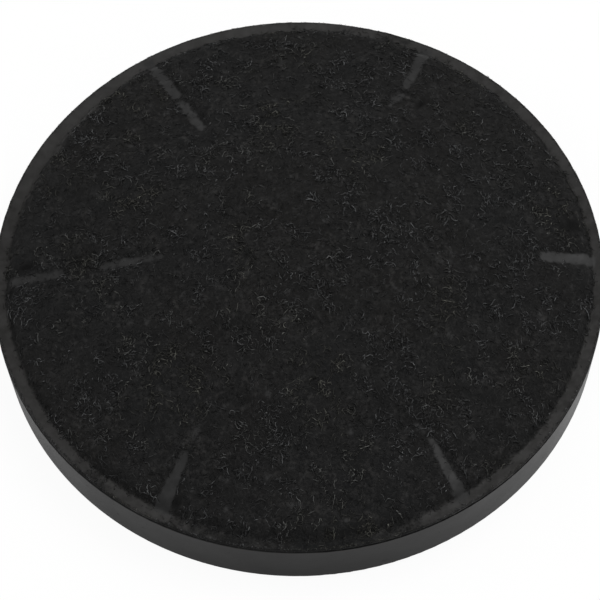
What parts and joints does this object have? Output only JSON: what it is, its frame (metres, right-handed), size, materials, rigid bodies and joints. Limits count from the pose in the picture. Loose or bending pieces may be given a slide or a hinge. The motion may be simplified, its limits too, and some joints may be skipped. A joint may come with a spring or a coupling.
{
  "type": "cooker hood carbon filter",
  "caption": "Round black moulded tray of activated carbon, closed by a crowned felt disc sealed on the rim and radial webs, with a bayonet socket at the rear.",
  "frame": {"origin": "middle of the rear face, on the plane that the rear rim rests on", "axes": "+Z out of the felt face along the axis of the disc, +X along one of the six webs"},
  "size_m": [0.19, 0.19, 0.0444],
  "materials": {
    "moulded_plastic": "satin moulded black",
    "filter_felt": "needled black felt, sealed smooth at the border",
    "liner_felt": "thin black felt",
    "carbon_granules": "loose black granules"
  },
  "bodies": {
    "root": {"housing": "moulded_plastic", "front_felt": "filter_felt", "rear_felt_1": "liner_felt", "rear_felt_2": "liner_felt", "rear_felt_3": "liner_felt", "rear_felt_4": "liner_felt", "rear_felt_5": "liner_felt", "rear_felt_6": "liner_felt", "carbon_bed_1": "carbon_granules", "carbon_bed_2": "carbon_granules", "carbon_bed_3": "carbon_granules", "carbon_bed_4": "carbon_granules", "carbon_bed_5": "carbon_granules", "carbon_bed_6": "carbon_granules"}
  },
  "joints": []
}
